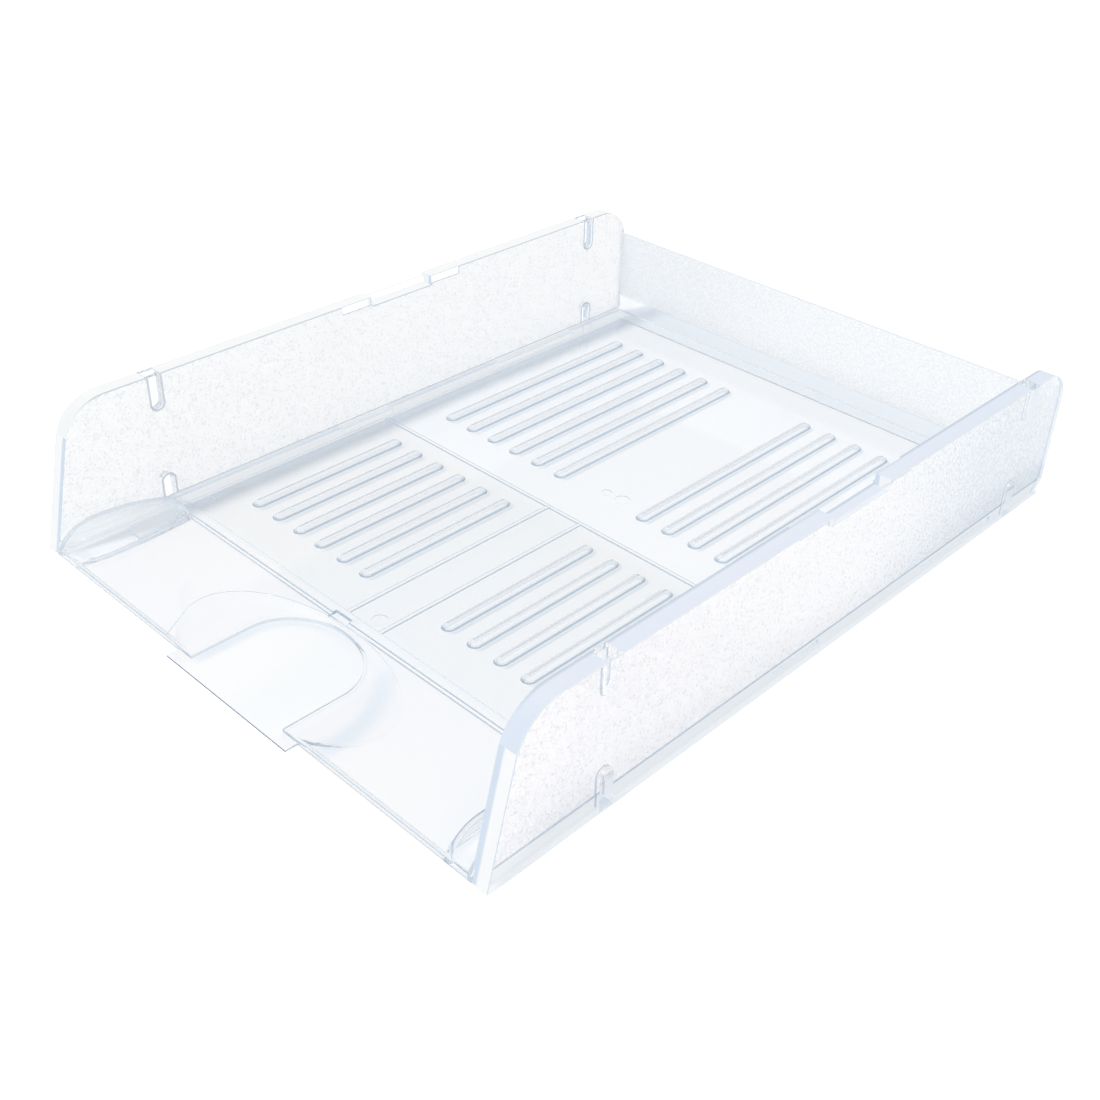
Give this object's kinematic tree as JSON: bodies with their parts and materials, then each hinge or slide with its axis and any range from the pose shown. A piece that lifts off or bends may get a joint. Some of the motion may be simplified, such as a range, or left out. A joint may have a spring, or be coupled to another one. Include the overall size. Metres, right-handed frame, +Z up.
{
  "type": "letter tray",
  "caption": "Stackable clear plastic letter tray with thick side panels, a ribbed floor, a front finger scoop, a rear wall and stacking pockets in the panel edges.",
  "frame": {"origin": "bottom centre of the bounding box, front lip included, on the resting plane", "axes": "+X across the tray to its right side seen from the open front, +Y to the rear wall, +Z up"},
  "size_m": [0.267, 0.3534, 0.064],
  "materials": {
    "clear_plastic": "clear, polished; rear wall finely frosted on its front face",
    "frosted_clear_plastic": "clear with polished outer face and edges; inner face finely frosted"
  },
  "bodies": {
    "root": {"base_tray": "clear_plastic", "left_side_panel": "frosted_clear_plastic", "right_side_panel": "frosted_clear_plastic"}
  },
  "joints": []
}
